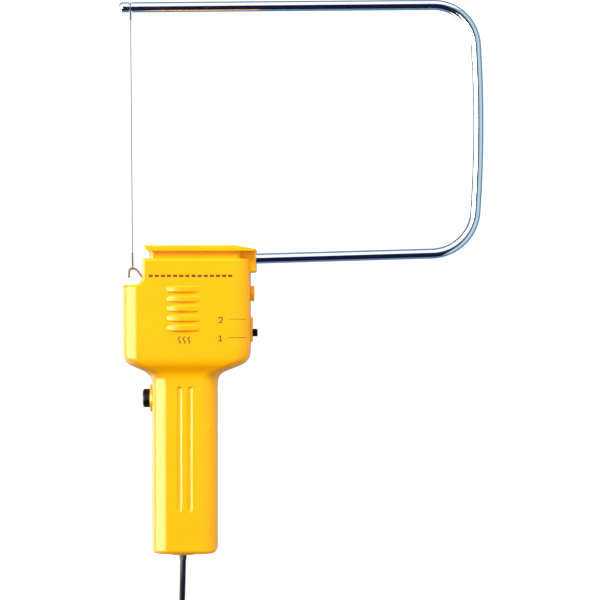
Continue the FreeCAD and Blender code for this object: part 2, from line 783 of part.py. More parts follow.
def bow_path(owner):
    """The bow's centre line: top run, corner, bulging side, corner and lower run."""
    top = Vector(number("bow_start_x"), number("bow_start_y"), 0)
    low = Vector(number("bow_inner_x"), number("bow_inner_y"), 0)
    big = number("bow_side_radius")
    centre = Vector(number("bow_side_right") - big, number("bow_side_middle"), 0)
    upper, top_line, top_side = inside_corner(top, number("bow_tilt"), -1, number("bow_corner_top"), centre, big)
    lower, low_line, low_side = inside_corner(low, number("bow_low_slope"), 1, number("bow_corner_low"), centre, big)
    path = sketch(owner, "XY", "mid_height")
    low_run = path.addGeometry(Part.LineSegment(low, low_line), False)
    low_bend = path.addGeometry(short_arc(lower, low_line, low_side), False)
    side = path.addGeometry(short_arc(centre, low_side, top_side), False)
    top_bend = path.addGeometry(short_arc(upper, top_side, top_line), False)
    top_run = path.addGeometry(Part.LineSegment(top_line, top), False)
    chain = [low_run, low_bend, side, top_bend, top_run]
    rules = [Sketcher.Constraint("Tangent", first, 2, second, 1) for first, second in zip(chain, chain[1:])]
    path.addConstraint(rules)
    dimension(path, "low_x", "DistanceX", (low_run, 1), "bow_inner_x")
    dimension(path, "low_y", "DistanceY", (low_run, 1), "bow_inner_y")
    dimension(path, "top_x", "DistanceX", (top_run, 2), "bow_start_x")
    dimension(path, "top_y", "DistanceY", (top_run, 2), "bow_start_y")
    dimension(path, "low_radius", "Radius", (low_bend,), "bow_corner_low")
    dimension(path, "top_radius", "Radius", (top_bend,), "bow_corner_top")
    dimension(path, "side_radius", "Radius", (side,), "bow_side_radius")
    dimension(path, "side_x", "DistanceX", (side, 3), "bow_side_right - bow_side_radius")
    dimension(path, "side_y", "DistanceY", (side, 3), "bow_side_middle")
    return path


def bow_arm():
    """A round tube along the bow's centre line, with its bore."""
    owner = body("bow_arm")
    path = bow_path(owner)
    DOC.recompute()
    ring = owner.newObject("Sketcher::SketchObject", "bow_ring")
    ring.AttachmentSupport = [(path, "Edge1")]
    ring.MapMode = "NormalToEdge"
    for name, size in (("outer", "bow_radius"), ("inner", "bow_bore")):
        circle = ring.addGeometry(Part.Circle(Vector(), Vector(0, 0, 1), number(size)), False)
        ring.addConstraint(Sketcher.Constraint("Coincident", circle, 3, -1, 1))
        dimension(ring, name, "Radius", (circle,), size)
    DOC.recompute()
    pipe = owner.newObject("PartDesign::AdditivePipe", "bow_tube")
    pipe.Profile = ring
    pipe.Spine = (path, [f"Edge{place}" for place in range(1, 6)])
    DOC.recompute()
    node("bow_arm", owner)


def disc(label, plane, start, end, radius, across, up):
    """A round body that can be filleted; across and up place its centre in the plane."""
    owner = body(label)
    drawing = sketch(owner, plane, start)
    circle = drawing.addGeometry(Part.Circle(Vector(number(across), number(up), 0), Vector(0, 0, 1),
                                             number(radius)), False)
    dimension(drawing, "radius", "Radius", (circle,), radius)
    dimension(drawing, "across", "DistanceX", (circle, 3), across)
    dimension(drawing, "up", "DistanceY", (circle, 3), up)
    pad(owner, drawing, plane, start, end)
    DOC.recompute()
    return owner


def arm_tip_cap():
    """The bow's round end, with the groove that the cutting wire is tied around and a spigot in the tube."""
    bead = disc("tip_bead", "YZ", "tip_end", "tip_bead", "bow_radius", "bow_start_y", "mid_height")
    soften(bead, "tip_round", lies_at("X", "tip_end"))
    neck = rod("tip_neck", "X", "tip_bead", "bow_start_x", "tip_neck", "bow_start_y", "mid_height")
    spigot = rod("tip_spigot", "X", "bow_start_x", "tip_spigot", "bow_bore - 0.12", "bow_start_y", "mid_height")
    node("arm_tip_cap", join("arm_tip_cap", [bead, neck, spigot]))


def strut(label, start, end, radius):
    """A straight cylinder between two points."""
    thing = DOC.addObject("Part::Cylinder", label)
    run = end - start
    thing.Height = run.Length
    thing.Placement = Placement(start, Rotation(Vector(0, 0, 1), run))
    bind(thing, "Radius", radius)
    return thing


def loop(label, centre, radius):
    """A ring of the cutting wire around something that runs along X."""
    thing = DOC.addObject("Part::Torus", label)
    thing.Placement = Placement(centre, ALONG["X"])
    bind(thing, "Radius1", f"{radius} + wire_radius + 0.03")
    bind(thing, "Radius2", "wire_radius")
    return thing


def hook_line():
    """The tension hook's centre line: its pivot, where the arm meets the eye, two top corners and the tip."""
    height = number("mid_height")
    pivot = Vector(number("pivot_x"), number("pivot_y"), height)
    crest = Vector(number("hook_crest_x"), number("hook_crest_y"), height)
    away = crest - pivot
    lean = math.acos(number("eye_radius") / away.Length)
    start = math.atan2(away.y, away.x) + lean
    touch = pivot + Vector(math.cos(start), math.sin(start), 0) * number("eye_radius")
    corner = Vector(number("hook_end_x") + 0.6, crest.y + 0.2, height)
    tip = Vector(number("hook_end_x"), number("hook_end_y"), height)
    return pivot, touch, crest, corner, tip


def cutting_wire():
    """The resistance wire, tied around the tip's groove and around the hook."""
    groove_middle = "(tip_bead + bow_start_x) / 2"
    upper = Vector(number(groove_middle), number("bow_start_y"), number("mid_height"))
    crest, corner = hook_line()[2:4]
    lower = (crest + corner) / 2
    low_knot = lower + Vector(0, number("hook_wire") + number("wire_radius"), 0)
    high_knot = upper - Vector(0, number("tip_neck") + number("wire_radius"), 0)
    run = (high_knot - low_knot).normalize()
    pieces = [
        loop("tip_loop", upper, "tip_neck"),
        loop("hook_loop", lower, "hook_wire"),
        strut("wire_run", low_knot, high_knot, "wire_radius"),
        strut("twist_high", high_knot - run * number("twist_top"), high_knot - run * 0.3, "twist_radius"),
        strut("twist_low", low_knot + run * 0.3, low_knot + run * number("twist_low"), "twist_radius"),
    ]
    node("cutting_wire", join("cutting_wire", pieces))


def swept(label, wire, radius, smooth=False):
    """A round bar along a wire of lines and arcs."""
    edge = wire.OrderedEdges[0]
    start = edge.firstVertex(True).Point
    along = edge.tangentAt(edge.FirstParameter)
    if edge.Orientation == "Reversed":
        along = edge.tangentAt(edge.LastParameter) * -1
    ring = Part.Wire(Part.makeCircle(radius, start, along))
    thing = DOC.addObject("Part::Feature", label)
    thing.Shape = wire.makePipeShell([ring], True, smooth)
    return thing


def bend(before, point, after, radius):
    """The arc of one radius that rounds the corner at point, as its edge and its two ends."""
    back = (before - point).normalize()
    ahead = (after - point).normalize()
    half_turn = (math.pi - back.getAngle(ahead)) / 2
    reach = radius * math.tan(half_turn)
    start = point + back * reach
    end = point + ahead * reach
    middle = point + (back + ahead).normalize() * (radius / math.cos(half_turn) - radius)
    return Part.Arc(start, middle, end).toShape(), start, end


def tension_hook():
    """Spring wire bent into a hook, a straight arm and an eye that turns on the pin."""
    pivot, touch, crest, corner, tip = hook_line()
    top_bend, top_start, top_end = bend(tip, corner, crest, number("hook_bend") * 0.9)
    arm_bend, arm_start, arm_end = bend(corner, crest, touch, number("hook_bend") * 2)
    first = math.atan2(touch.y - pivot.y, touch.x - pivot.x)
    last = first + math.radians(number("eye_turn"))
    eye = Part.ArcOfCircle(Part.Circle(pivot, Vector(0, 0, 1), number("eye_radius")), first, last)
    wire = Part.Wire([
        Part.LineSegment(tip, top_start).toShape(),
        top_bend,
        Part.LineSegment(top_end, arm_start).toShape(),
        arm_bend,
        Part.LineSegment(arm_end, touch).toShape(),
        eye.toShape(),
    ])
    node("tension_hook", swept("tension_hook", wire, number("hook_wire")))


def hook_pivot():
    """The brass pin that the hook turns on, held between the two posts."""
    collar_low = "mid_height - post_gap + 0.6"
    collar_high = "mid_height - hook_wire - 0.15"
    pin = rod("pin", "Z", "mid_height - pin_half", "mid_height + pin_half", "pin_radius", "pivot_x", "pivot_y")
    collar = rod("pin_collar", "Z", collar_low, collar_high, "pin_collar", "pivot_x", "pivot_y")
    node("hook_pivot_pin", join("hook_pivot_pin", [pin, collar]))
    washer = rod("washer", "Z", "mid_height - post_gap", collar_low, "post_radius", "pivot_x", "pivot_y")
    tab = box("tab", "pivot_x + pin_radius", "pivot_x + post_radius + 2.4", "pivot_y - 1.6", "pivot_y + 1.6",
              "mid_height - post_gap", collar_low)
    hole = rod("washer_hole", "Z", "mid_height - post_gap - 1", "mid_height", "pin_radius", "pivot_x", "pivot_y")
    node("hook_terminal", carve("hook_terminal", join("terminal_plate", [washer, tab]), [hole]))


def spring_coil(radius, thickness, pitch, turns):
    """An open coil of round wire about Z, rising from zero, as a smooth curve in quarter turns."""
    steps = 12
    points = []
    for step in range(turns * steps + 1):
        angle = 2 * math.pi * step / steps
        points.append(Vector(radius * math.cos(angle), radius * math.sin(angle), pitch * step / steps))
    curve = Part.BSplineCurve()
    curve.interpolate(points)
    quarters = turns * 4
    stride = (curve.LastParameter - curve.FirstParameter) / quarters
    ends = [curve.FirstParameter + stride * place for place in range(quarters + 1)]
    wire = Part.Wire([curve.toShape(start, end) for start, end in zip(ends, ends[1:])])
    first = wire.OrderedEdges[0]
    ring = Part.Wire(Part.makeCircle(thickness, points[0], first.tangentAt(first.FirstParameter)))
    return wire.makePipeShell([ring], True, True)


def hook_spring():
    """The torsion spring above the hook's eye: three turns and two legs."""
    wire = number("spring_wire")
    radius = number("spring_radius")
    low = number("mid_height") + number("hook_wire") + wire + 0.25
    pitch = wire * 2 + 0.05
    turns = 3
    leg_length = 4.6
    centre = Vector(number("pivot_x"), number("pivot_y"), low)
    coil = spring_coil(radius, wire, pitch, turns)
    coil.translate(centre)
    legs = []
    for rise, way in ((0, -1), (pitch * turns, 1)):
        start = centre + Vector(radius, -way * wire, rise)
        legs.append(Part.makeCylinder(wire, leg_length, start, Vector(0, way, 0)))
    thing = DOC.addObject("Part::Feature", "hook_spring")
    thing.Shape = coil.fuse(legs)
    node("hook_spring", thing)


# ---------------------------------------------------------------- Switches

def push_button():
    """The on switch under the finger: cap, stem, return spring and switch block."""
    centre = ("button_y", "mid_height")
    cap = disc("button_cap", "YZ", "button_face", "button_flange_face", "button_radius", *centre)
    soften(cap, "1.1", lies_at("X", "button_face"))
    flange = rod("button_flange", "X", "button_flange_face", "button_flange_face + 1.2", "button_flange", *centre)
    stem = rod("button_stem", "X", "button_flange_face", "push_switch_face - 0.6", "button_stem", *centre)
    node("push_button", join("push_button", [cap, flange, stem]))
    block = slab(
        "push_switch_block", "YZ", "push_switch_face", "push_switch_face + 7.5", "button_y - 6.5",
        "button_y + 6.5", "mid_height - 5", "mid_height + 5", "0.8",
    )
    bore = rod("stem_bore", "X", "push_switch_face - 1", "push_switch_face + button_travel + 0.6",
               "button_stem + free_gap", *centre)
    node("push_switch_body", carve("push_switch_body", block, [bore]))
    pins = [
        box(f"push_pin_{place}", "push_switch_face + 7.5", "push_switch_face + 9.5",
            f"button_y + {place} * 3.7 - 0.9", f"button_y + {place} * 3.7 + 0.9", "mid_height - 0.4",
            "mid_height + 0.4")
        for place in (-1, 1)
    ]
    node("push_switch_terminals", group("push_switch_terminals", pins))
    shelf_height = "mid_height - 5"
    node("push_switch_bracket", box(
        "push_switch_bracket", "push_switch_face + 1.7", "push_switch_face + 7.5", "button_y - 8", "button_y + 8",
        "mid_height - grip_half_depth + wall", shelf_height,
    ))
    button_spring()


def button_spring():
    """The return spring between the button's flange and the switch block."""
    thickness = 0.35
    turns = 4
    low = number("button_flange_face") + 1.2 + thickness
    high = number("push_switch_face") - thickness
    thing = DOC.addObject("Part::Feature", "button_spring")
    thing.Shape = spring_coil(number("button_stem") + 1.4, thickness, (high - low) / turns, turns)
    thing.Placement = Placement(Vector(low, number("button_y"), number("mid_height")), ALONG["X"])
    node("button_spring", thing)


def slide_switch():
    """The two-level switch in the right wall: knob, switch block and terminals."""
    plate_left = "slide_switch_right + 0.3"
    plate_right = "head_right - wall - 0.3"
    grip = slab(
        "knob_grip", "YZ", plate_right, "knob_face", "knob_y - knob_half", "knob_y + knob_half",
        "mid_height - knob_half_depth", "mid_height + knob_half_depth", "0.6",
    )
    soften(grip, "0.5", lies_at("X", "knob_face"))
    plate = box("knob_plate", plate_left, plate_right, "knob_y - knob_plate_half",
                "knob_y + knob_plate_half - 0.8", "mid_height - 4.8", "mid_height + 4.8")
    nib = box("knob_nib", "slide_switch_right - 1.4", plate_left, "knob_y - 1.2", "knob_y + 1.2",
              "mid_height - 1.4", "mid_height + 1.4")
    node("slide_knob", join("slide_knob", [grip, plate, nib]))
    block = box("slide_switch_block", "slide_switch_left", "slide_switch_right", "knob_y - 7.2", "knob_y + 10.8",
                "mid_height - 4.6", "mid_height + 4.6")
    slot = box("slide_switch_slot", "slide_switch_right - 1.8", "slide_switch_right + 1", "knob_y - 1.6",
               "knob_y + 1.6 + knob_travel", "mid_height - 1.8", "mid_height + 1.8")
    node("slide_switch_body", carve("slide_switch_body", block, [slot]))
    pins = [
        box(f"slide_pin_{place}", "slide_switch_left - 2.6", "slide_switch_left",
            f"knob_y + {place} * 4.2 + 1.1", f"knob_y + {place} * 4.2 + 2.3", "mid_height + 2.2", "mid_height + 3.0")
        for place in (-1, 0, 1)
    ]
    node("slide_switch_terminals", group("slide_switch_terminals", pins))


# ---------------------------------------------------------------- Arm clamp, screws and transformer

def arm_clamp():
    """The brass block around the bow's inner end, its set screw, and the bracket to the side screw."""
    block = slab(
        "clamp_block", "YZ", "clamp_left", "clamp_right", "clamp_low", "clamp_high",
        "mid_height - clamp_half", "mid_height + clamp_half", "0.8",
    )
    screw_x = "(clamp_left + clamp_right) / 2"
    hole = rod("set_screw_hole", "Z", "mid_height + bow_radius", "mid_height + clamp_half + 1", "1.5", screw_x,
               "bow_inner_y + 0.2")
    node("arm_clamp", carve("arm_clamp", block, [along_bow("clamp_bore"), hole]))
    shank = rod("set_screw_shank", "Z", "mid_height + bow_radius", "mid_height + clamp_half + 0.6", "1.5", screw_x,
                "bow_inner_y + 0.2")
    cap = rod("set_screw_cap", "Z", "mid_height + clamp_half + 0.6", "mid_height + clamp_half + 2.4", "2.6",
              screw_x, "bow_inner_y + 0.2")
    slit = box("set_screw_slit", f"{screw_x} - 3", f"{screw_x} + 3", "bow_inner_y - 0.2", "bow_inner_y + 0.6",
               "mid_height + clamp_half + 1.6", "mid_height + clamp_half + 3")
    node("arm_clamp_screw", carve("arm_clamp_screw", join("set_screw", [shank, cap]), [slit]))
    depth = ("mid_height - bracket_half", "mid_height + bracket_half")
    inner_face = "head_right - wall"
    shelf = box("bracket_shelf", "clamp_left", inner_face, "clamp_low - bracket_thickness", "clamp_low", *depth)
    leg = box("bracket_leg", f"{inner_face} - bracket_thickness", inner_face, "side_boss_y - 4.5",
              "clamp_low", *depth)
    tapped = rod("bracket_hole", "X", "head_right - wall * 3", "head_right", "side_screw_shank", "side_boss_y",
                 "mid_height")
    node("arm_bracket", carve("arm_bracket", join("bracket_strip", [shelf, leg]), [tapped]))
    head_seat = "head_right + 0.4"
    cap = disc("side_screw_cap", "YZ", head_seat, f"{head_seat} + 1.2", "side_screw_head", "side_boss_y",
               "mid_height")
    soften(cap, "0.4", lies_at("X", f"{head_seat} + 1.2"))
    shank = rod("side_screw_shank", "X", "head_right - wall - 3", head_seat, "side_screw_shank", "side_boss_y",
                "mid_height")
    slit = box("side_screw_slit", f"{head_seat} + 0.7", f"{head_seat} + 2", "side_boss_y - 3", "side_boss_y + 3",
               "mid_height - 0.3", "mid_height + 0.3")
    node("bracket_screw", carve("bracket_screw", join("side_screw", [cap, shank]), [slit]))


def cross_screw(label, across, along, seat, end, shank, cap, cap_height, side):
    """A pan head screw along Z with a cross recess; side is 1 when its head is above, -1 when below."""
    low, high = (seat, end) if side < 0 else (end, seat)
    far = f"{seat} + {side} * {cap_height}"
    spread = (far, seat) if side < 0 else (seat, far)
    body_part = rod(f"{label}_shank", "Z", low, high, shank, across, along)
    cap_part = rod(f"{label}_cap", "Z", *spread, cap, across, along)
    slot_low = f"{far} - 0.9" if side > 0 else f"{far} - 1"
    slot_high = f"{far} + 1" if side > 0 else f"{far} + 0.9"
    slots = [
        box(f"{label}_slot_a", f"{across} - {cap} * 0.6", f"{across} + {cap} * 0.6", f"{along} - 0.3",
            f"{along} + 0.3", slot_low, slot_high),
        box(f"{label}_slot_b", f"{across} - 0.3", f"{across} + 0.3", f"{along} - {cap} * 0.6",
            f"{along} + {cap} * 0.6", slot_low, slot_high),
    ]
    return carve(label, join(f"{label}_blank", [body_part, cap_part]), slots)


def housing_screws():
    screws = [
        cross_screw(f"housing_screw_{place}", across, along, "screw_seat", "screw_end", "screw_shank", "screw_head",
                    "screw_head_height", -1)
        for place, (across, along) in enumerate(HOUSING_SCREWS)
    ]
    node("housing_screws", group("housing_screws", screws))


def transformer():
    """A small shell transformer: laminated core, split bobbin and two windings."""
    stack = ("mid_height - core_half_stack", "mid_height + core_half_stack")
    core = slab(
        "core_block", "XY", *stack, "-core_half_width", "core_half_width", "core_y - core_half_height",
        "core_y + core_half_height", "0.5",
    )
    windows = [
        box(f"core_window_{side}", *span, "core_y - window_half_height", "core_y + window_half_height",
            "mid_height - core_half_stack - 1", "mid_height + core_half_stack + 1")
        for side, span in (("left", ("-window_outer", "-limb_half")), ("right", ("limb_half", "window_outer")))
    ]
    node("transformer_core", carve("transformer_core", core, windows))
    limb = ("-limb_half", "limb_half", "mid_height - core_half_stack", "mid_height + core_half_stack", "0.4")
    former = ("-limb_half - bobbin_wall", "limb_half + bobbin_wall", "mid_height - core_half_stack - bobbin_wall",
              "mid_height + core_half_stack + bobbin_wall", "0.8")
    spread = ("-winding_outer", "winding_outer", "mid_height - winding_half_depth",
              "mid_height + winding_half_depth", "2.5")
    rim = ("-window_outer + 0.3", "window_outer - 0.3", "mid_height - winding_half_depth - 0.5",
           "mid_height + winding_half_depth + 0.5", "1.5")
    low = "core_y - window_half_height"
    high = "core_y + window_half_height"
    pieces = [slab("bobbin_tube", "XZ", low, high, *former, bore=limb)]
    for place, level in enumerate((low, "core_y - bobbin_wall / 2", f"{high} - bobbin_wall")):
        pieces.append(slab(f"bobbin_rim_{place}", "XZ", level, f"{level} + bobbin_wall", *rim, bore=limb))
    node("transformer_bobbin", join("transformer_bobbin", pieces))
    node("primary_winding", slab(
        "primary_winding", "XZ", f"{low} + bobbin_wall", "core_y - bobbin_wall / 2", *spread, bore=former,
    ))
    node("secondary_winding", slab(
        "secondary_winding", "XZ", "core_y + bobbin_wall / 2", f"{high} - bobbin_wall", *spread, bore=former,
    ))


# ---------------------------------------------------------------- Cord, clamp, leads and plug

def soft_route(points, smallest):
    """A wire of straight runs and tangent arcs, each arc as large as its two runs allow."""
    corners = [Vector(*point) for point in points]
    edges = []
    here = corners[0]
    radii = []
    for before, corner, after in zip(corners, corners[1:], corners[2:]):
        shorter = min((corner - before).Length, (after - corner).Length)
        turn = math.pi - (before - corner).getAngle(after - corner)
        radius = 0.45 * shorter / math.tan(turn / 2)
        arc, start, end = bend(before, corner, after, radius)
        edges += [Part.LineSegment(here, start).toShape(), arc]
        radii.append(radius)
        here = end
    edges.append(Part.LineSegment(here, corners[-1]).toShape())
    print(f"  arcs {[round(radius, 1) for radius in radii]}, smallest wanted {smallest:.1f}")
    return Part.Wire(edges)


def soft_tube(label, points, radius):
    """A cord or lead along a route, checked against its section times its length."""
    wire = soft_route(points, radius * 2 * 5)
    thing = swept(label, wire, radius)
    ideal = math.pi * radius ** 2 * wire.Length
    print(f"{label}: length {wire.Length:.1f}, volume over section times length {thing.Shape.Volume / ideal:.4f}")
    return node(label, thing)


def mains_entry():
    """The rubber bushing in the grip's end, the cord inside it, and the clamp that holds the cord."""
    sleeve = taper("bushing_sleeve", "Y", "bushing_face", "bushing_root", "bushing_tip", "bushing_radius", "cord_x",
                   "mid_height")
    flange = rod("bushing_flange", "Y", "grip_end + wall", "grip_end + wall + 2", "bushing_radius + 2", "cord_x",
                 "mid_height")
    bore = rod("bushing_bore", "Y", "bushing_face - 1", "bushing_root + 1", "cord_radius", "cord_x", "mid_height")
    node("cord_bushing", carve("cord_bushing", join("bushing_blank", [sleeve, flange]), [bore]))
    node("inner_cord", rod("inner_cord", "Y", "bushing_face", "cord_clamp_y + 9", "cord_radius", "cord_x",
                           "mid_height"))
    bar = box("clamp_bar", "cord_x - 9.6", "cord_x + 9.6", "cord_clamp_y - 3.5", "cord_clamp_y + 3.5",
              "mid_height - seam_gap / 2", "mid_height + 4")
    tools = [rod("clamp_groove", "Y", "cord_clamp_y - 5", "cord_clamp_y + 5", "cord_radius", "cord_x", "mid_height")]
    screws = []
    for side in (-1, 1):
        across = f"(cord_x + {side} * 7)"
        tools.append(rod("clamp_hole", "Z", "mid_height - 1", "mid_height + 5", "1.4", across, "cord_clamp_y"))
        screws.append(cross_screw(f"clamp_screw_{side}", across, "cord_clamp_y", "mid_height + 4", "mid_height - 7",
                                  "1.2", "2.4", "1.6", 1))
    node("cord_clamp", carve("cord_clamp", bar, tools))
    node("cord_clamp_screws", group("cord_clamp_screws", screws))


def free_cord():
    """The cord outside the tool, its coil with a tie, and the plug on its end."""
    radius = number("cord_radius")
    soft_tube("power_cord", CORD_ROUTE, radius)
    soft_tube("cord_tail", TAIL_ROUTE, radius)
    ring = rod("coil_ring", "Z", "0", "coil_height", "coil_outer", "coil_x", "coil_y")
    eye = rod("coil_eye", "Z", "-1", "coil_height + 1", "coil_inner", "coil_x", "coil_y")
    node("cord_coil", carve("cord_coil", ring, [eye]))
    tie_span = ("coil_y - tie_half", "coil_y + tie_half")
    band = box("tie_band", "coil_x + coil_inner - tie_thickness", "coil_x + coil_outer + tie_thickness", *tie_span,
               "0", "coil_height + tie_thickness")
    inside = box("tie_inside", "coil_x + coil_inner", "coil_x + coil_outer", "coil_y - tie_half - 1",
                 "coil_y + tie_half + 1", "tie_thickness", "coil_height")
    node("cord_tie", carve("cord_tie", band, [inside]))


def plug():
    """A flat two-blade plug, lying on its side of the coil."""
    end_x, end_y, end_z = TAIL_ROUTE[-1]
    root = slab("plug_neck", "YZ", str(end_x), str(end_x + 8), str(end_y - 4), str(end_y + 4), str(end_z - 4),
                str(end_z + 4), "2.6")
    block = slab("plug_block", "YZ", str(end_x + 6), str(end_x + 24), str(end_y - 9), str(end_y + 9), "0",
                 str(end_z * 2), "2.5")
    soften(block, "1.5", lies_at("X", str(end_x + 6)))
    soften(block, "0.8", lies_at("X", str(end_x + 24)))
    node("plug_body", join("plug_body", [root, block]))
    blades = []
    for side in (-1, 1):
        middle = end_y + side * 6.35
        blade = slab(f"blade_{side}", "XY", str(end_z - 3.1), str(end_z + 3.1), str(end_x + 24), str(end_x + 41),
                     str(middle - 0.75), str(middle + 0.75), "0.3")
        hole = rod(f"blade_hole_{side}", "Y", str(middle - 2), str(middle + 2), "1.5", str(end_x + 37), str(end_z))
        blades.append(carve(f"blade_cut_{side}", blade, [hole]))
    node("plug_blades", group("plug_blades", blades))


def check_document():
    """Stops with a plain message if anything in the document failed."""
    DOC.recompute()
    for thing in DOC.Objects:
        if "Invalid" in thing.State or "Error" in thing.State:
            raise SystemExit(f"{thing.Label} failed: {thing.State}")
    for thing in NODES:
        if thing.Shape.isNull() or not thing.Shape.isValid() or not thing.Shape.Solids:
            raise SystemExit(f"{thing.Label} has no valid solid")


def export_parts():
    os.makedirs("parts", exist_ok=True)
    for thing in NODES:
        thing.Shape.exportStep(f"parts/{thing.Label}.step")


def main():
    fill_sheet()
    shells()
    bow_arm()
    arm_tip_cap()
    cutting_wire()
    tension_hook()
    hook_pivot()
    hook_spring()
    push_button()
    slide_switch()
    arm_clamp()
    housing_screws()
    transformer()
    mains_entry()
    for label, (radius, points) in LEADS.items():
        soft_tube(label, points, radius)
    free_cord()
    plug()
    check_document()
    export_parts()
    print(f"{len(NODES)} sub-parts written")


main()
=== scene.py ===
"""Hot wire foam cutter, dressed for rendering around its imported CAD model. Lengths are in metres."""

import json
import math

import bmesh
import bpy
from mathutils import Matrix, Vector


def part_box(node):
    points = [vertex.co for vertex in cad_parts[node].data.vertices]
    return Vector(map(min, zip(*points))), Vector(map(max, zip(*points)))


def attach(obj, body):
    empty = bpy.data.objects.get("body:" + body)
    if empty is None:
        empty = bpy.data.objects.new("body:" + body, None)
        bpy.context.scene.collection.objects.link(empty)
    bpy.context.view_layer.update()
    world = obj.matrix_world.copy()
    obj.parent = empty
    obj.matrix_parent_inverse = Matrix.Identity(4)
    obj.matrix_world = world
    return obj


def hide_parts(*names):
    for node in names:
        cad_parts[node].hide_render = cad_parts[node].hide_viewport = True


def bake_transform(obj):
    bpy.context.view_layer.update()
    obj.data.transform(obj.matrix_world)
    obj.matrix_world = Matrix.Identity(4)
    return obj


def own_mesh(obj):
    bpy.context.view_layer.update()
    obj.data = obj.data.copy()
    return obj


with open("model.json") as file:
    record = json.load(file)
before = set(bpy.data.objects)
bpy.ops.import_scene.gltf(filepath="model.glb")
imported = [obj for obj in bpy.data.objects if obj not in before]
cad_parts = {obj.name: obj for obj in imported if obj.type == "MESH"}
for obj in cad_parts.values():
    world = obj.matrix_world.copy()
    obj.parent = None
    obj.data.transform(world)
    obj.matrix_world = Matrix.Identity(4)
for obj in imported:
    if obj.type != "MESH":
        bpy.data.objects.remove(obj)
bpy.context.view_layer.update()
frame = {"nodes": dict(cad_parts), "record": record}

MM = 0.001
NODES = frame["nodes"]
HOUSING = "housing"


# ---------------------------------------------------------------- Places taken from the frame

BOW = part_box("bow_arm")
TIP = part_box("arm_tip_cap")
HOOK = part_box("tension_hook")
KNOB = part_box("slide_knob")

# The height of the bow's axis, which is half way up the housing, and of the head's front.
MID_HEIGHT = (BOW[0].z + BOW[1].z) / 2
FACE_HEIGHT = MID_HEIGHT * 2


# ---------------------------------------------------------------- Small tools for materials

# Most of a noise texture's values lie between these two.
NOISE_LOW = 0.3
NOISE_HIGH = 0.7
NOISE_ROUGHNESS = 0.55


def srgb(red, green, blue):
    """A colour given as 0 to 255 steps of the screen, in linear light."""
    def linear(step):
        value = step / 255
        return value / 12.92 if value <= 0.04045 else ((value + 0.055) / 1.055) ** 2.4
    return (linear(red), linear(green), linear(blue), 1.0)


class Finish:
    """A material whose colour, roughness and relief are varied by noise in the object's own space."""

    def __init__(self, name, colour, roughness, metallic=0.0, **sockets):
        self.material = bpy.data.materials.new(name)
        self.material.use_nodes = True
        self.tree = self.material.node_tree
        self.nodes = self.tree.nodes
        self.shader = self.nodes["Principled BSDF"]
        self.shader.inputs["Base Color"].default_value = colour
        self.shader.inputs["Roughness"].default_value = roughness
        self.shader.inputs["Metallic"].default_value = metallic
        for socket, value in sockets.items():
            self.shader.inputs[socket.replace("_", " ")].default_value = value
        self.place = self.nodes.new("ShaderNodeTexCoord")
        self.relief = None

    def link(self, start, end):
        self.tree.links.new(start, end)

    def noise(self, size, detail=4.0, stretch=(1, 1, 1)):
        """Noise whose features are about size across, drawn out along each axis by stretch."""
        mapping = self.nodes.new("ShaderNodeMapping")
        mapping.inputs["Scale"].default_value = [1 / (size * axis) for axis in stretch]
        texture = self.nodes.new("ShaderNodeTexNoise")
        texture.inputs["Scale"].default_value = 1.0
        texture.inputs["Detail"].default_value = detail
        texture.inputs["Roughness"].default_value = NOISE_ROUGHNESS
        self.link(self.place.outputs["Object"], mapping.inputs["Vector"])
        self.link(mapping.outputs["Vector"], texture.inputs["Vector"])
        return texture.outputs["Fac"]

    def tint(self, value, colours, start=NOISE_LOW, end=NOISE_HIGH):
        """Varies the base colour between colours as a value goes from start to end."""
        ramp = self.nodes.new("ShaderNodeValToRGB")
        elements = ramp.color_ramp.elements
        while len(elements) < len(colours):
            elements.new(0.5)
        for place, (element, colour) in enumerate(zip(elements, colours)):
            element.position = start + (end - start) * place / (len(colours) - 1)
            element.color = colour
        self.link(value, ramp.inputs["Fac"])
        self.link(ramp.outputs["Color"], self.shader.inputs["Base Color"])

    def rough(self, value, low, high):
        """Spreads the roughness from low to high with a noise value."""
        remap = self.nodes.new("ShaderNodeMapRange")
        remap.inputs["From Min"].default_value = NOISE_LOW
        remap.inputs["From Max"].default_value = NOISE_HIGH
        remap.inputs["To Min"].default_value = low
        remap.inputs["To Max"].default_value = high
        self.link(value, remap.inputs["Value"])
        self.link(remap.outputs["Result"], self.shader.inputs["Roughness"])

    def bump(self, value, depth, strength):
        """Adds relief, on top of any added before."""
        node = self.nodes.new("ShaderNodeBump")
        node.inputs["Strength"].default_value = strength
        node.inputs["Distance"].default_value = depth
        self.link(value, node.inputs["Height"])
        if self.relief:
            self.link(self.relief, node.inputs["Normal"])
        self.relief = node.outputs["Normal"]
        self.link(self.relief, self.shader.inputs["Normal"])


def yellow_abs():
    """Moulded ABS: smooth and glossy, with a faint orange-peel skin and slightly uneven pigment."""
    finish = Finish("yellow_abs", srgb(250, 168, 1), 0.22, Specular_IOR_Level=0.25)
    cloud = finish.noise(0.03, detail=3)
    finish.tint(cloud, [srgb(249, 165, 1), srgb(250, 168, 1), srgb(251, 171, 1)])
    finish.rough(finish.noise(0.004, detail=6), 0.16, 0.22)
    finish.bump(finish.noise(0.0022, detail=2), 0.00002, 0.12)
    finish.bump(finish.noise(0.00035, detail=3), 0.00001, 0.12)
    return finish.material


def chrome():
    """Bright plating with a faint drawn grain and a few hairline scuffs."""
    finish = Finish("bright_chrome", srgb(236, 240, 246), 0.07, metallic=1.0)
    finish.rough(finish.noise(0.006, detail=6), 0.05, 0.11)
    finish.bump(finish.noise(0.0005, detail=4, stretch=(6, 1, 1)), 0.000004, 0.3)
    return finish.material


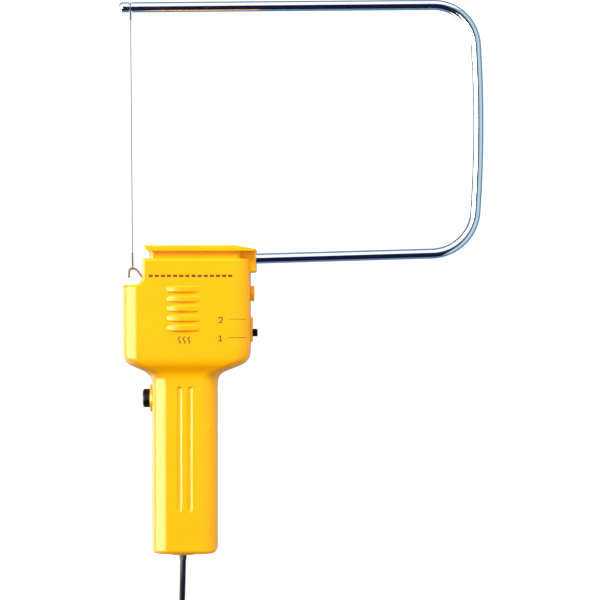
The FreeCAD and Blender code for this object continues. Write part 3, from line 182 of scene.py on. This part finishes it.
def metal(name, colour, low, high, grain=0.0008, stretch=(1, 1, 1)):
    """A plain metal with grain: low and high give the spread of its roughness."""
    finish = Finish(name, colour, (low + high) / 2, metallic=1.0)
    shade = [channel * 0.82 for channel in colour[:3]] + [1.0]
    finish.tint(finish.noise(grain * 5, detail=5), [shade, colour])
    finish.rough(finish.noise(grain * 2, detail=5), low, high)
    finish.bump(finish.noise(grain, detail=3, stretch=stretch), 0.00001, 0.4)
    return finish.material


def plastic(name, colour, low, high, grain=0.0005, relief=0.00002, **sockets):
    """A plain moulded plastic or rubber with a fine skin texture."""
    finish = Finish(name, colour, (low + high) / 2, **sockets)
    shade = [channel * 0.8 for channel in colour[:3]] + [1.0]
    finish.tint(finish.noise(grain * 12, detail=4), [shade, colour])
    finish.rough(finish.noise(grain * 5, detail=5), low, high)
    finish.bump(finish.noise(grain, detail=3), relief, 0.5)
    return finish.material


def laminations():
    """Varnished steel sheets, stacked front to back, seen edge on."""
    finish = Finish("core_steel", srgb(92, 92, 96), 0.4, metallic=0.85)
    waves = finish.nodes.new("ShaderNodeTexWave")
    waves.bands_direction = "Z"
    waves.inputs["Scale"].default_value = 1 / 0.0035
    waves.inputs["Distortion"].default_value = 0.6
    finish.link(finish.place.outputs["Object"], waves.inputs["Vector"])
    finish.tint(waves.outputs["Fac"], [srgb(58, 50, 46), srgb(118, 118, 122)], 0.1, 0.6)
    finish.rough(finish.noise(0.002), 0.3, 0.5)
    finish.bump(waves.outputs["Fac"], 0.00005, 0.6)
    return finish.material


def windings(name, dark, light):
    """Wire laid in close turns around the bobbin, or tape over it. The colour darkens in the hollows between
    turns: painted shade.
    """
    finish = Finish(name, light, 0.3, Coat_Weight=0.4)
    waves = finish.nodes.new("ShaderNodeTexWave")
    waves.bands_direction = "Y"
    waves.inputs["Scale"].default_value = 1 / 0.0032
    waves.inputs["Distortion"].default_value = 0.3
    finish.link(finish.place.outputs["Object"], waves.inputs["Vector"])
    # Painted shade: the colour runs from dark where the waves are low, in the hollows between turns, to light
    # on the crests.
    finish.tint(waves.outputs["Fac"], [dark, light], 0.05, 0.5)
    finish.rough(finish.noise(0.002), 0.25, 0.4)
    finish.bump(waves.outputs["Fac"], 0.0001, 0.7)
    return finish.material


def make_materials():
    """One material for each of the record's slots, by slot name, and one for the ink of the prints.

    The cutting wire and the hook have a dull surface, made as the plastics are. As bright metal they would
    mirror the white studio and vanish against the floor.
    """
    return {
        "yellow_abs": yellow_abs(),
        "chrome_tube": chrome(),
        "resistance_wire": plastic("resistance_wire", srgb(96, 106, 118), 0.5, 0.65, grain=0.0002,
                                   Specular_IOR_Level=0.02),
        "hook_wire": plastic("hook_wire", srgb(120, 108, 94), 0.4, 0.5, grain=0.0003, Specular_IOR_Level=0.1),
        "turned_brass": metal("turned_brass", srgb(212, 176, 98), 0.2, 0.35),
        "spring_steel": metal("spring_steel", srgb(170, 170, 172), 0.2, 0.35, grain=0.0003),
        "black_plastic": plastic("black_plastic", srgb(7, 5, 5), 0.24, 0.36, Specular_IOR_Level=0.2),
        "switch_plastic": plastic("switch_plastic", srgb(34, 32, 31), 0.45, 0.6),
        "tinned_brass": metal("tinned_brass", srgb(200, 196, 170), 0.25, 0.4),
        "zinc_screw": metal("zinc_screw", srgb(196, 196, 190), 0.22, 0.4),
        "bronzed_screw": metal("bronzed_screw", srgb(120, 78, 36), 0.25, 0.42),
        "plated_sheet": metal("plated_sheet", srgb(190, 190, 186), 0.25, 0.42, stretch=(1, 8, 1)),
        "core_steel": laminations(),
        "bobbin_plastic": plastic("bobbin_plastic", srgb(226, 220, 204), 0.35, 0.5),
        # The first colour of each winding is painted shade for the hollows between its turns.
        "winding_tape": windings("winding_tape", srgb(180, 140, 26), srgb(232, 196, 70)),
        "copper_winding": windings("copper_winding", srgb(92, 34, 14), srgb(196, 98, 48)),
        "black_rubber": plastic("black_rubber", srgb(22, 18, 22), 0.5, 0.68),
        "cord_sheath": plastic("cord_sheath", srgb(30, 17, 38), 0.34, 0.46, grain=0.0007,
                               Specular_IOR_Level=0.18),
        "tie_plastic": plastic("tie_plastic", srgb(46, 46, 50), 0.5, 0.7, grain=0.0003, relief=0.00006),
        "plug_plastic": plastic("plug_plastic", srgb(26, 21, 26), 0.38, 0.52),
        "plated_blades": metal("plated_blades", srgb(212, 208, 192), 0.18, 0.34, stretch=(8, 1, 1)),
        "lead_white": plastic("lead_white", srgb(226, 222, 210), 0.5, 0.7, relief=0.00005),
        "lead_red": plastic("lead_red", srgb(170, 26, 20), 0.35, 0.5),
        "lead_black": plastic("lead_black", srgb(26, 24, 24), 0.35, 0.5),
        "print_ink": plastic("print_ink", srgb(112, 66, 2), 0.6, 0.75, Specular_IOR_Level=0.15),
    }


MATERIALS = make_materials()


def dress_cad_nodes():
    """Gives every CAD node its slot's material."""
    for part in frame["record"]["subparts"]:
        node = NODES[part["node"]]
        node.data.materials.clear()
        node.data.materials.append(MATERIALS[part["material_slot"]])


# ---------------------------------------------------------------- Small tools for meshes

def add_piece(name, mesh, slot, body=HOUSING, smooth=True):
    """Puts a mesh or curve in the scene as a piece that rides on a body.

    The print ink isn't one of the record's slots, so a print gets its slot from print_piece.
    """
    piece = bpy.data.objects.new(name, mesh)
    bpy.context.scene.collection.objects.link(piece)
    mesh.materials.append(MATERIALS[slot])
    if smooth and isinstance(mesh, bpy.types.Mesh):
        mesh.shade_smooth()
    if body:
        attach(piece, body)
    return piece


def mesh_from(name, vertices, faces):
    mesh = bpy.data.meshes.new(name)
    mesh.from_pydata([tuple(vertex) for vertex in vertices], [], faces)
    mesh.validate()
    mesh.update()
    return mesh


def merge(name, meshes):
    """Several meshes as one."""
    built = bmesh.new()
    for mesh in meshes:
        built.from_mesh(mesh)
        bpy.data.meshes.remove(mesh)
    whole = bpy.data.meshes.new(name)
    built.to_mesh(whole)
    built.free()
    return whole


def tube(name, points, radius):
    """A round bar along points, closed at both ends."""
    sides = 10
    points = [Vector(point) for point in points]
    tangents = []
    for place in range(len(points)):
        before = points[max(place - 1, 0)]
        after = points[min(place + 1, len(points) - 1)]
        tangents.append((after - before).normalized())
    across = tangents[0].orthogonal().normalized()
    vertices = []
    for point, tangent in zip(points, tangents):
        across = (across - tangent * across.dot(tangent)).normalized()
        up = tangent.cross(across)
        for side in range(sides):
            angle = 2 * math.pi * side / sides
            vertices.append(point + (across * math.cos(angle) + up * math.sin(angle)) * radius)
    faces = []
    for ring in range(len(points) - 1):
        start = ring * sides
        for side in range(sides):
            following = (side + 1) % sides
            faces.append((start + side, start + following, start + sides + following, start + sides + side))
    faces.append(tuple(reversed(range(sides))))
    last = (len(points) - 1) * sides
    faces.append(tuple(range(last, last + sides)))
    return mesh_from(name, vertices, faces)


# ---------------------------------------------------------------- Camera, light and floor

def make_camera():
    """Looks straight down on the front of the tool, with the bow at the top of the picture."""
    centre = Vector((67.7, 5.9)) * MM
    height = 1.2
    view_width = 0.354
    sensor_width = 36
    camera = bpy.data.objects.new("camera", bpy.data.cameras.new("camera"))
    bpy.context.scene.collection.objects.link(camera)
    camera.location = (centre.x, centre.y, height)
    camera.data.sensor_width = sensor_width
    camera.data.lens = sensor_width * (height - MID_HEIGHT) / view_width
    camera.data.clip_end = 10
    bpy.context.scene.camera = camera


LIGHT_TARGET = (0.03, 0.0, 0.02)


def area_light(name, place, size, power, glossy=False, diffuse=True):
    """A light panel aimed at the tool; glossy and diffuse say which shading it takes part in."""
    data = bpy.data.lights.new(name, "AREA")
    data.shape = "RECTANGLE"
    data.size, data.size_y = size
    data.energy = power
    lamp = bpy.data.objects.new(name, data)
    bpy.context.scene.collection.objects.link(lamp)
    lamp.location = place
    aim = Vector(LIGHT_TARGET) - Vector(place)
    lamp.rotation_mode = "QUATERNION"
    lamp.rotation_quaternion = aim.to_track_quat("-Z", "Y")
    lamp.visible_glossy = glossy
    lamp.visible_diffuse = diffuse
    lamp.visible_camera = False


def make_world():
    """The studio as the gloss shows it, all but white on the left and beyond the bow.

    Overhead and towards the cord it is dark blue, and to the right first grey and then pale blue. Below the
    horizon it is slate, with a bright glow on the left.
    """
    world = bpy.data.worlds.new("studio")
    bpy.context.scene.world = world
    world.use_nodes = True
    tree = world.node_tree
    background = tree.nodes["Background"]
    place = tree.nodes.new("ShaderNodeTexCoord")
    split = tree.nodes.new("ShaderNodeSeparateXYZ")
    tree.links.new(place.outputs["Generated"], split.inputs["Vector"])
    rightwards, bowwards, upwards = (split.outputs[axis] for axis in "XYZ")

    def step(value, start, end):
        remap = tree.nodes.new("ShaderNodeMapRange")
        remap.interpolation_type = "SMOOTHSTEP"
        remap.inputs["From Min"].default_value = start
        remap.inputs["From Max"].default_value = end
        tree.links.new(value, remap.inputs["Value"])
        return remap.outputs["Result"]

    def combine(operation, first, second):
        node = tree.nodes.new("ShaderNodeMath")
        node.operation = operation
        tree.links.new(first, node.inputs[0])
        tree.links.new(second, node.inputs[1])
        return node.outputs["Value"]

    def blend(share, first, second):
        mix = tree.nodes.new("ShaderNodeMix")
        mix.data_type = "RGBA"
        tree.links.new(share, mix.inputs["Factor"])
        for socket, colour in (("A", first), ("B", second)):
            target = next(item for item in mix.inputs if item.name == socket and item.type == "RGBA")
            if isinstance(colour, tuple):
                target.default_value = colour
            else:
                tree.links.new(colour, target)
        return next(item for item in mix.outputs if item.type == "RGBA")

    dark_blue = srgb(24, 24, 58)
    grey = srgb(116, 140, 160)
    pale_blue = srgb(206, 232, 248)
    white = (1.35, 1.37, 1.4, 1)
    slate = srgb(110, 150, 178)
    glow = (4, 4, 3.8, 1)

    grey_share = combine("MULTIPLY", step(rightwards, 0.05, 0.12), step(bowwards, -0.2, -0.05))
    grey_side = blend(grey_share, dark_blue, grey)
    pale_side = blend(step(rightwards, 0.28, 0.42), grey_side, pale_blue)
    white_share = step(combine("SUBTRACT", bowwards, rightwards), 0.22, 0.34)
    above = blend(white_share, pale_side, white)
    glow_share = combine("MULTIPLY", step(rightwards, -0.35, -0.6), step(bowwards, 0.08, 0.03))
    below = blend(glow_share, slate, glow)
    whole = blend(step(upwards, 0.0, 0.12), below, above)
    tree.links.new(whole, background.inputs["Color"])
    background.inputs["Strength"].default_value = 0.9


def make_lights():
    """A key light from the upper left, fills overhead and on the right, and a strip seen only in the gloss."""
    area_light("key_light", place=(-0.5, 1.0, 1.0), size=(0.7, 0.7), power=25)
    area_light("top_fill", place=(0.1, 0.0, 1.7), size=(1.2, 1.2), power=5.5)
    area_light("side_fill", place=(1.0, 0.5, 0.4), size=(0.8, 0.8), power=4)
    area_light("gloss_strip", place=(-0.8, -0.05, 0.6), size=(0.9, 1.45), power=60,
               glossy=True, diffuse=False)


def make_floor():
    """A pale floor that the tool lies on. It glows, so that it is white all over."""
    half = 3.0
    gap = 0.0002
    corners = [(-half, -half, 0), (half, -half, 0), (half, half, 0), (-half, half, 0)]
    mesh = mesh_from("floor", corners, [(0, 1, 2, 3)])
    floor = bpy.data.objects.new("floor", mesh)
    bpy.context.scene.collection.objects.link(floor)
    floor.location.z = -gap
    floor.visible_glossy = False
    finish = Finish("floor", (0.1, 0.1, 0.1, 1), 0.9, Emission_Color=(1, 1, 1, 1), Emission_Strength=0.98,
                    Specular_IOR_Level=0.0)
    mesh.materials.append(finish.material)


# ---------------------------------------------------------------- The mains cord

CORD_RADIUS = 1.75 * MM

# In millimetres, from the bushing down to the surface that the tool lies on and to the coil.
CORD_ROUTE = [
    (-1.3, -147.2, 22.0),
    (-1.5, -158.0, 21.6),
    (-2.2, -170.0, 15.5),
    (-3.0, -181.0, 5.6),
    (-3.7, -193.0, 1.75),
    (-3.95, -205.6, 1.75),
]

# In millimetres, from the top of the coil down to the plug.
TAIL_ROUTE = [
    (28.2, -237.9, 12.25),
    (36.5, -238.1, 11.6),
    (46.0, -237.6, 8.4),
    (54.5, -237.4, 5.6),
    (62.0, -237.6, 5.2),
]

# The coil, in millimetres. Each turn keeps its radius up to SHIFT_START of the way round, and moves over to
# the next one's within SHIFT_LENGTH more.
COIL_CENTRE = (19.0, -215.0)
COIL_RADII = (22.95, 19.45, 15.95)
COIL_LAYERS = 4
COIL_STEPS = 20
COIL_BASE = 1.75
LAYER_PITCH = 3.5
SHIFT_START = 0.55
SHIFT_LENGTH = 0.4


def smooth_step(share):
    share = min(max(share, 0), 1)
    return share * share * (3 - 2 * share)


def coil_route():
    """The spare cord's turns: three side by side in each layer, wound in and out by turns, layer on layer.

    The curve runs inside its control points, so they are set out further than the turns by pull_in.
    """
    places = []
    for layer in range(COIL_LAYERS):
        radii = COIL_RADII if layer % 2 == 0 else COIL_RADII[::-1]
        places += [(radius, COIL_BASE + LAYER_PITCH * layer) for radius in radii]
    places.append(places[-1])
    alpha = 2 * math.pi / COIL_STEPS
    pull_in = (6 + 2 * math.cos(alpha)) / 8
    points = []
    steps = COIL_STEPS * (len(places) - 1) + COIL_STEPS // 4
    for step in range(steps + 1):
        turn, within = divmod(step, COIL_STEPS)
        share = smooth_step((within / COIL_STEPS - SHIFT_START) / SHIFT_LENGTH)
        now = places[turn]
        later = places[min(turn + 1, len(places) - 1)]
        radius = (now[0] + (later[0] - now[0]) * share) / pull_in
        height = now[1] + (later[1] - now[1]) * share
        angle = math.pi + step * alpha
        across = COIL_CENTRE[0] + radius * math.cos(angle)
        along = COIL_CENTRE[1] + radius * math.sin(angle)
        points.append((across, along, height))
    return points


def make_cord():
    """The whole free cord as one smooth line: lead, coil and tail."""
    points = [*CORD_ROUTE, *coil_route()[:-1], *TAIL_ROUTE]
    curve = bpy.data.curves.new("mains_cord", "CURVE")
    curve.dimensions = "3D"
    curve.bevel_depth = CORD_RADIUS
    curve.bevel_resolution = 6
    curve.resolution_u = 6
    curve.use_fill_caps = True
    spline = curve.splines.new("NURBS")
    spline.points.add(len(points) - 1)
    for target, point in zip(spline.points, points):
        target.co = (*(value * MM for value in point), 1)
    spline.order_u = 3
    spline.use_endpoint_u = True
    cord = add_piece("mains_cord", curve, "cord_sheath")
    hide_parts("power_cord", "cord_coil", "cord_tail")
    return cord


# ---------------------------------------------------------------- The cutting wire

WIRE_RADIUS = 0.28 * MM

# How far each strand turns away from the neck of its loop, in radians.
NECK_OPENING = 0.35


def loop_and_twist(centre, reach, towards, length, turns):
    """A wire's end: once round a bar that runs along X, then wound about itself for a length.

    Both strands leave the loop on the side that faces towards, which is a unit vector. Gives the line of the
    wire and the place where the twist ends.
    """
    loop_steps = 24
    steps = turns * 12
    up = Vector((0, 0, 1))
    spread = WIRE_RADIUS * 1.05
    neck = math.asin(min(1, spread / reach)) + NECK_OPENING
    loop = []
    for step in range(loop_steps + 1):
        angle = neck + (2 * math.pi - 2 * neck) * step / loop_steps
        loop.append(centre + (towards * math.cos(angle) + up * math.sin(angle)) * reach)
    start = centre + towards * (reach + spread)
    across = towards.cross(up)
    strands = []
    for side in (0, math.pi):
        points = []
        for step in range(steps + 1):
            angle = side + math.pi / 2 + 2 * math.pi * turns * step / steps
            swing = across * math.cos(angle) + up * math.sin(angle)
            points.append(start + towards * (length * step / steps) + swing * spread)
        strands.append(points)
    first, second = strands
    line = [*reversed(second), *reversed(loop), *first]
    return line, start + towards * length


def make_wire():
    """The resistance wire: taut between the tip's groove and the hook, looped and twisted at both ends.

    Its straight run goes one step into each twist.
    """
    groove_from_end = 6.5 * MM
    groove_radius = 2.3 * MM
    hook_radius = 0.65 * MM
    hook_across = -31.05 * MM
    tip_bar = Vector((TIP[0].x + groove_from_end, (TIP[0].y + TIP[1].y) / 2, MID_HEIGHT))
    hook_bar = Vector((hook_across, HOOK[1].y - hook_radius, MID_HEIGHT))
    down = (hook_bar - tip_bar).normalized()
    upper, upper_end = loop_and_twist(tip_bar, groove_radius + WIRE_RADIUS, down, length=4.6 * MM, turns=4)
    lower, lower_end = loop_and_twist(hook_bar, hook_radius + WIRE_RADIUS, -down, length=8.0 * MM, turns=6)
    steps = 60
    straight = [upper_end.lerp(lower_end, step / steps) for step in range(-1, steps + 2)]
    pieces = [
        tube("upper_loop", upper, WIRE_RADIUS),
        tube("lower_loop", lower, WIRE_RADIUS),
        tube("straight_run", straight, WIRE_RADIUS),
    ]
    wire = add_piece("taut_wire", merge("taut_wire", pieces), "resistance_wire", body=None)
    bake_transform(wire)
    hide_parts("cutting_wire")


# ---------------------------------------------------------------- Prints on the front

PRINT_THICKNESS = 0.05 * MM
PRINT_SINK = PRINT_THICKNESS / 5

# The head's right side and the radius of its rounded edge, which the leader lines run out on to.
HEAD_RIGHT = 38.4 * MM
HEAD_CORNER = 9.2 * MM


def face_height(across):
    """How high the head's front is at a place across it: level, then round towards its right edge."""
    over = max(across - (HEAD_RIGHT - HEAD_CORNER), 0)
    return FACE_HEIGHT - HEAD_CORNER + math.sqrt(HEAD_CORNER ** 2 - over ** 2)


def printed_line(points, width):
    """A printed line through points in millimetres on the front of the head."""
    points = [Vector(point) for point in points]
    vertices = []
    for place, point in enumerate(points):
        before = points[max(place - 1, 0)]
        after = points[min(place + 1, len(points) - 1)]
        along = (after - before).normalized()
        across = Vector((-along.y, along.x)) * width / 2
        for side in (across, -across):
            for level in (-PRINT_SINK, PRINT_THICKNESS):
                spot = (point + side) * MM
                vertices.append((spot.x, spot.y, face_height(spot.x) + level))
    faces = [(0, 1, 3, 2)]
    for place in range(len(points) - 1):
        start = place * 4
        for first, second in ((0, 1), (1, 3), (3, 2), (2, 0)):
            faces.append((start + first, start + 4 + first, start + 4 + second, start + second))
    last = (len(points) - 1) * 4
    faces.append((last, last + 2, last + 3, last + 1))
    return mesh_from("printed_line", vertices, faces)


def print_piece(name, lines):
    """One printed mark made of lines, each its points and its width in millimetres."""
    mark = merge(name, [printed_line(points, width) for points, width in lines])
    add_piece(name, mark, "print_ink", smooth=False)


def make_prints():
    """Plain marks: a dashed rule, three heat waves, and a numeral with a leader line for each switch level.

    All the lengths are in millimetres.
    """
    dashes, dash_start, dash_pitch, dash_length = 14, -20.0, 3.55, 2.4
    rule_place, rule_width = 19.9, 1.5
    print_piece("dashed_rule", [
        ([(left, rule_place), (left + dash_length, rule_place)], rule_width)
        for left in [dash_start + dash_pitch * place for place in range(dashes)]
    ])

    wave_bottom, wave_height, wave_swing, wave_width = -19.3, 4.0, 0.55, 0.75
    wave_steps, steps_to_a_cycle = 14, 12
    waves = []
    for middle in (-2.2, 0.6, 3.4):
        points = []
        for step in range(wave_steps + 1):
            across = middle + wave_swing * math.sin(2 * math.pi * step / steps_to_a_cycle)
            points.append((across, wave_bottom + wave_height * step / wave_steps))
        waves.append((points, wave_width))
    print_piece("heat_waves", waves)

    stroke, leader_width = 0.72, 0.3
    leader = [26.4 + 0.7 * step for step in range(15)]
    top, foot, bend = -3.9, 3.4, 1.15
    two = [
        (21.6 + bend * math.cos(math.radians(angle)), top - bend + bend * math.sin(math.radians(angle)))
        for angle in range(165, -46, -15)
    ]
    print_piece("level_two", [
        ([*two, (20.4, top - foot), (22.9, top - foot)], stroke),
        ([(across, -5.2) for across in leader], leader_width),
    ])
    top, foot = -14.6, 3.2
    print_piece("level_one", [
        ([(20.8, top - 0.8), (21.7, top), (21.7, top - foot)], stroke),
        ([(20.7, top - foot), (22.7, top - foot)], stroke),
        ([(across, -15.9) for across in leader], leader_width),
    ])


# ---------------------------------------------------------------- Small dressings

def block(low, high):
    """A box between two corners, with softened edges."""
    built = bmesh.new()
    bmesh.ops.create_cube(built, size=1)
    low, high = Vector(low), Vector(high)
    size = high - low
    for vertex in built.verts:
        vertex.co = Vector(vertex.co[axis] * size[axis] for axis in range(3)) + (low + high) / 2
    bmesh.ops.bevel(built, geom=built.edges[:], offset=min(size) * 0.25, segments=2, affect="EDGES")
    mesh = bpy.data.meshes.new("block")
    built.to_mesh(mesh)
    built.free()
    return mesh


def make_knob_ribs():
    """Ribs across the slide knob's face, for the fingertip."""
    middle = (KNOB[0].y + KNOB[1].y) / 2 + 0.4 * MM
    pitch = 1.1 * MM
    half_width, half_length = 0.22 * MM, 2.7 * MM
    sunk, proud = 0.3 * MM, 0.25 * MM
    ribs = []
    for place in (-1, 0, 1):
        along = middle + place * pitch
        low = (KNOB[1].x - sunk, along - half_width, MID_HEIGHT - half_length)
        high = (KNOB[1].x + proud, along + half_width, MID_HEIGHT + half_length)
        ribs.append(block(low, high))
    add_piece("knob_ribs", merge("knob_ribs", ribs), "black_plastic", body="knob")


def make_button_spring():
    """The button's return spring, wound to fill the CAD spring's box and riding on the housing."""
    low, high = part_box("button_spring")
    wire_radius = 0.35 * MM
    turns = 4
    steps = turns * 16
    centre = (low + high) / 2
    coil_radius = (high.y - low.y) / 2 - wire_radius
    start = low.x + wire_radius
    pitch = (high.x - low.x - 2 * wire_radius) / turns
    points = []
    for step in range(steps + 1):
        turned = turns * step / steps
        angle = 2 * math.pi * turned
        around = (coil_radius * math.cos(angle), coil_radius * math.sin(angle))
        points.append((start + pitch * turned, centre.y + around[0], centre.z + around[1]))
    spring = add_piece("return_spring", tube("return_spring", points, wire_radius), "spring_steel")
    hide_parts("button_spring")
    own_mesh(spring)


def main():
    make_camera()
    make_world()
    make_lights()
    make_floor()
    dress_cad_nodes()
    cord = make_cord()
    make_wire()
    make_prints()
    make_knob_ribs()
    make_button_spring()
    bpy.context.scene.view_settings.view_transform = "Standard"


main()
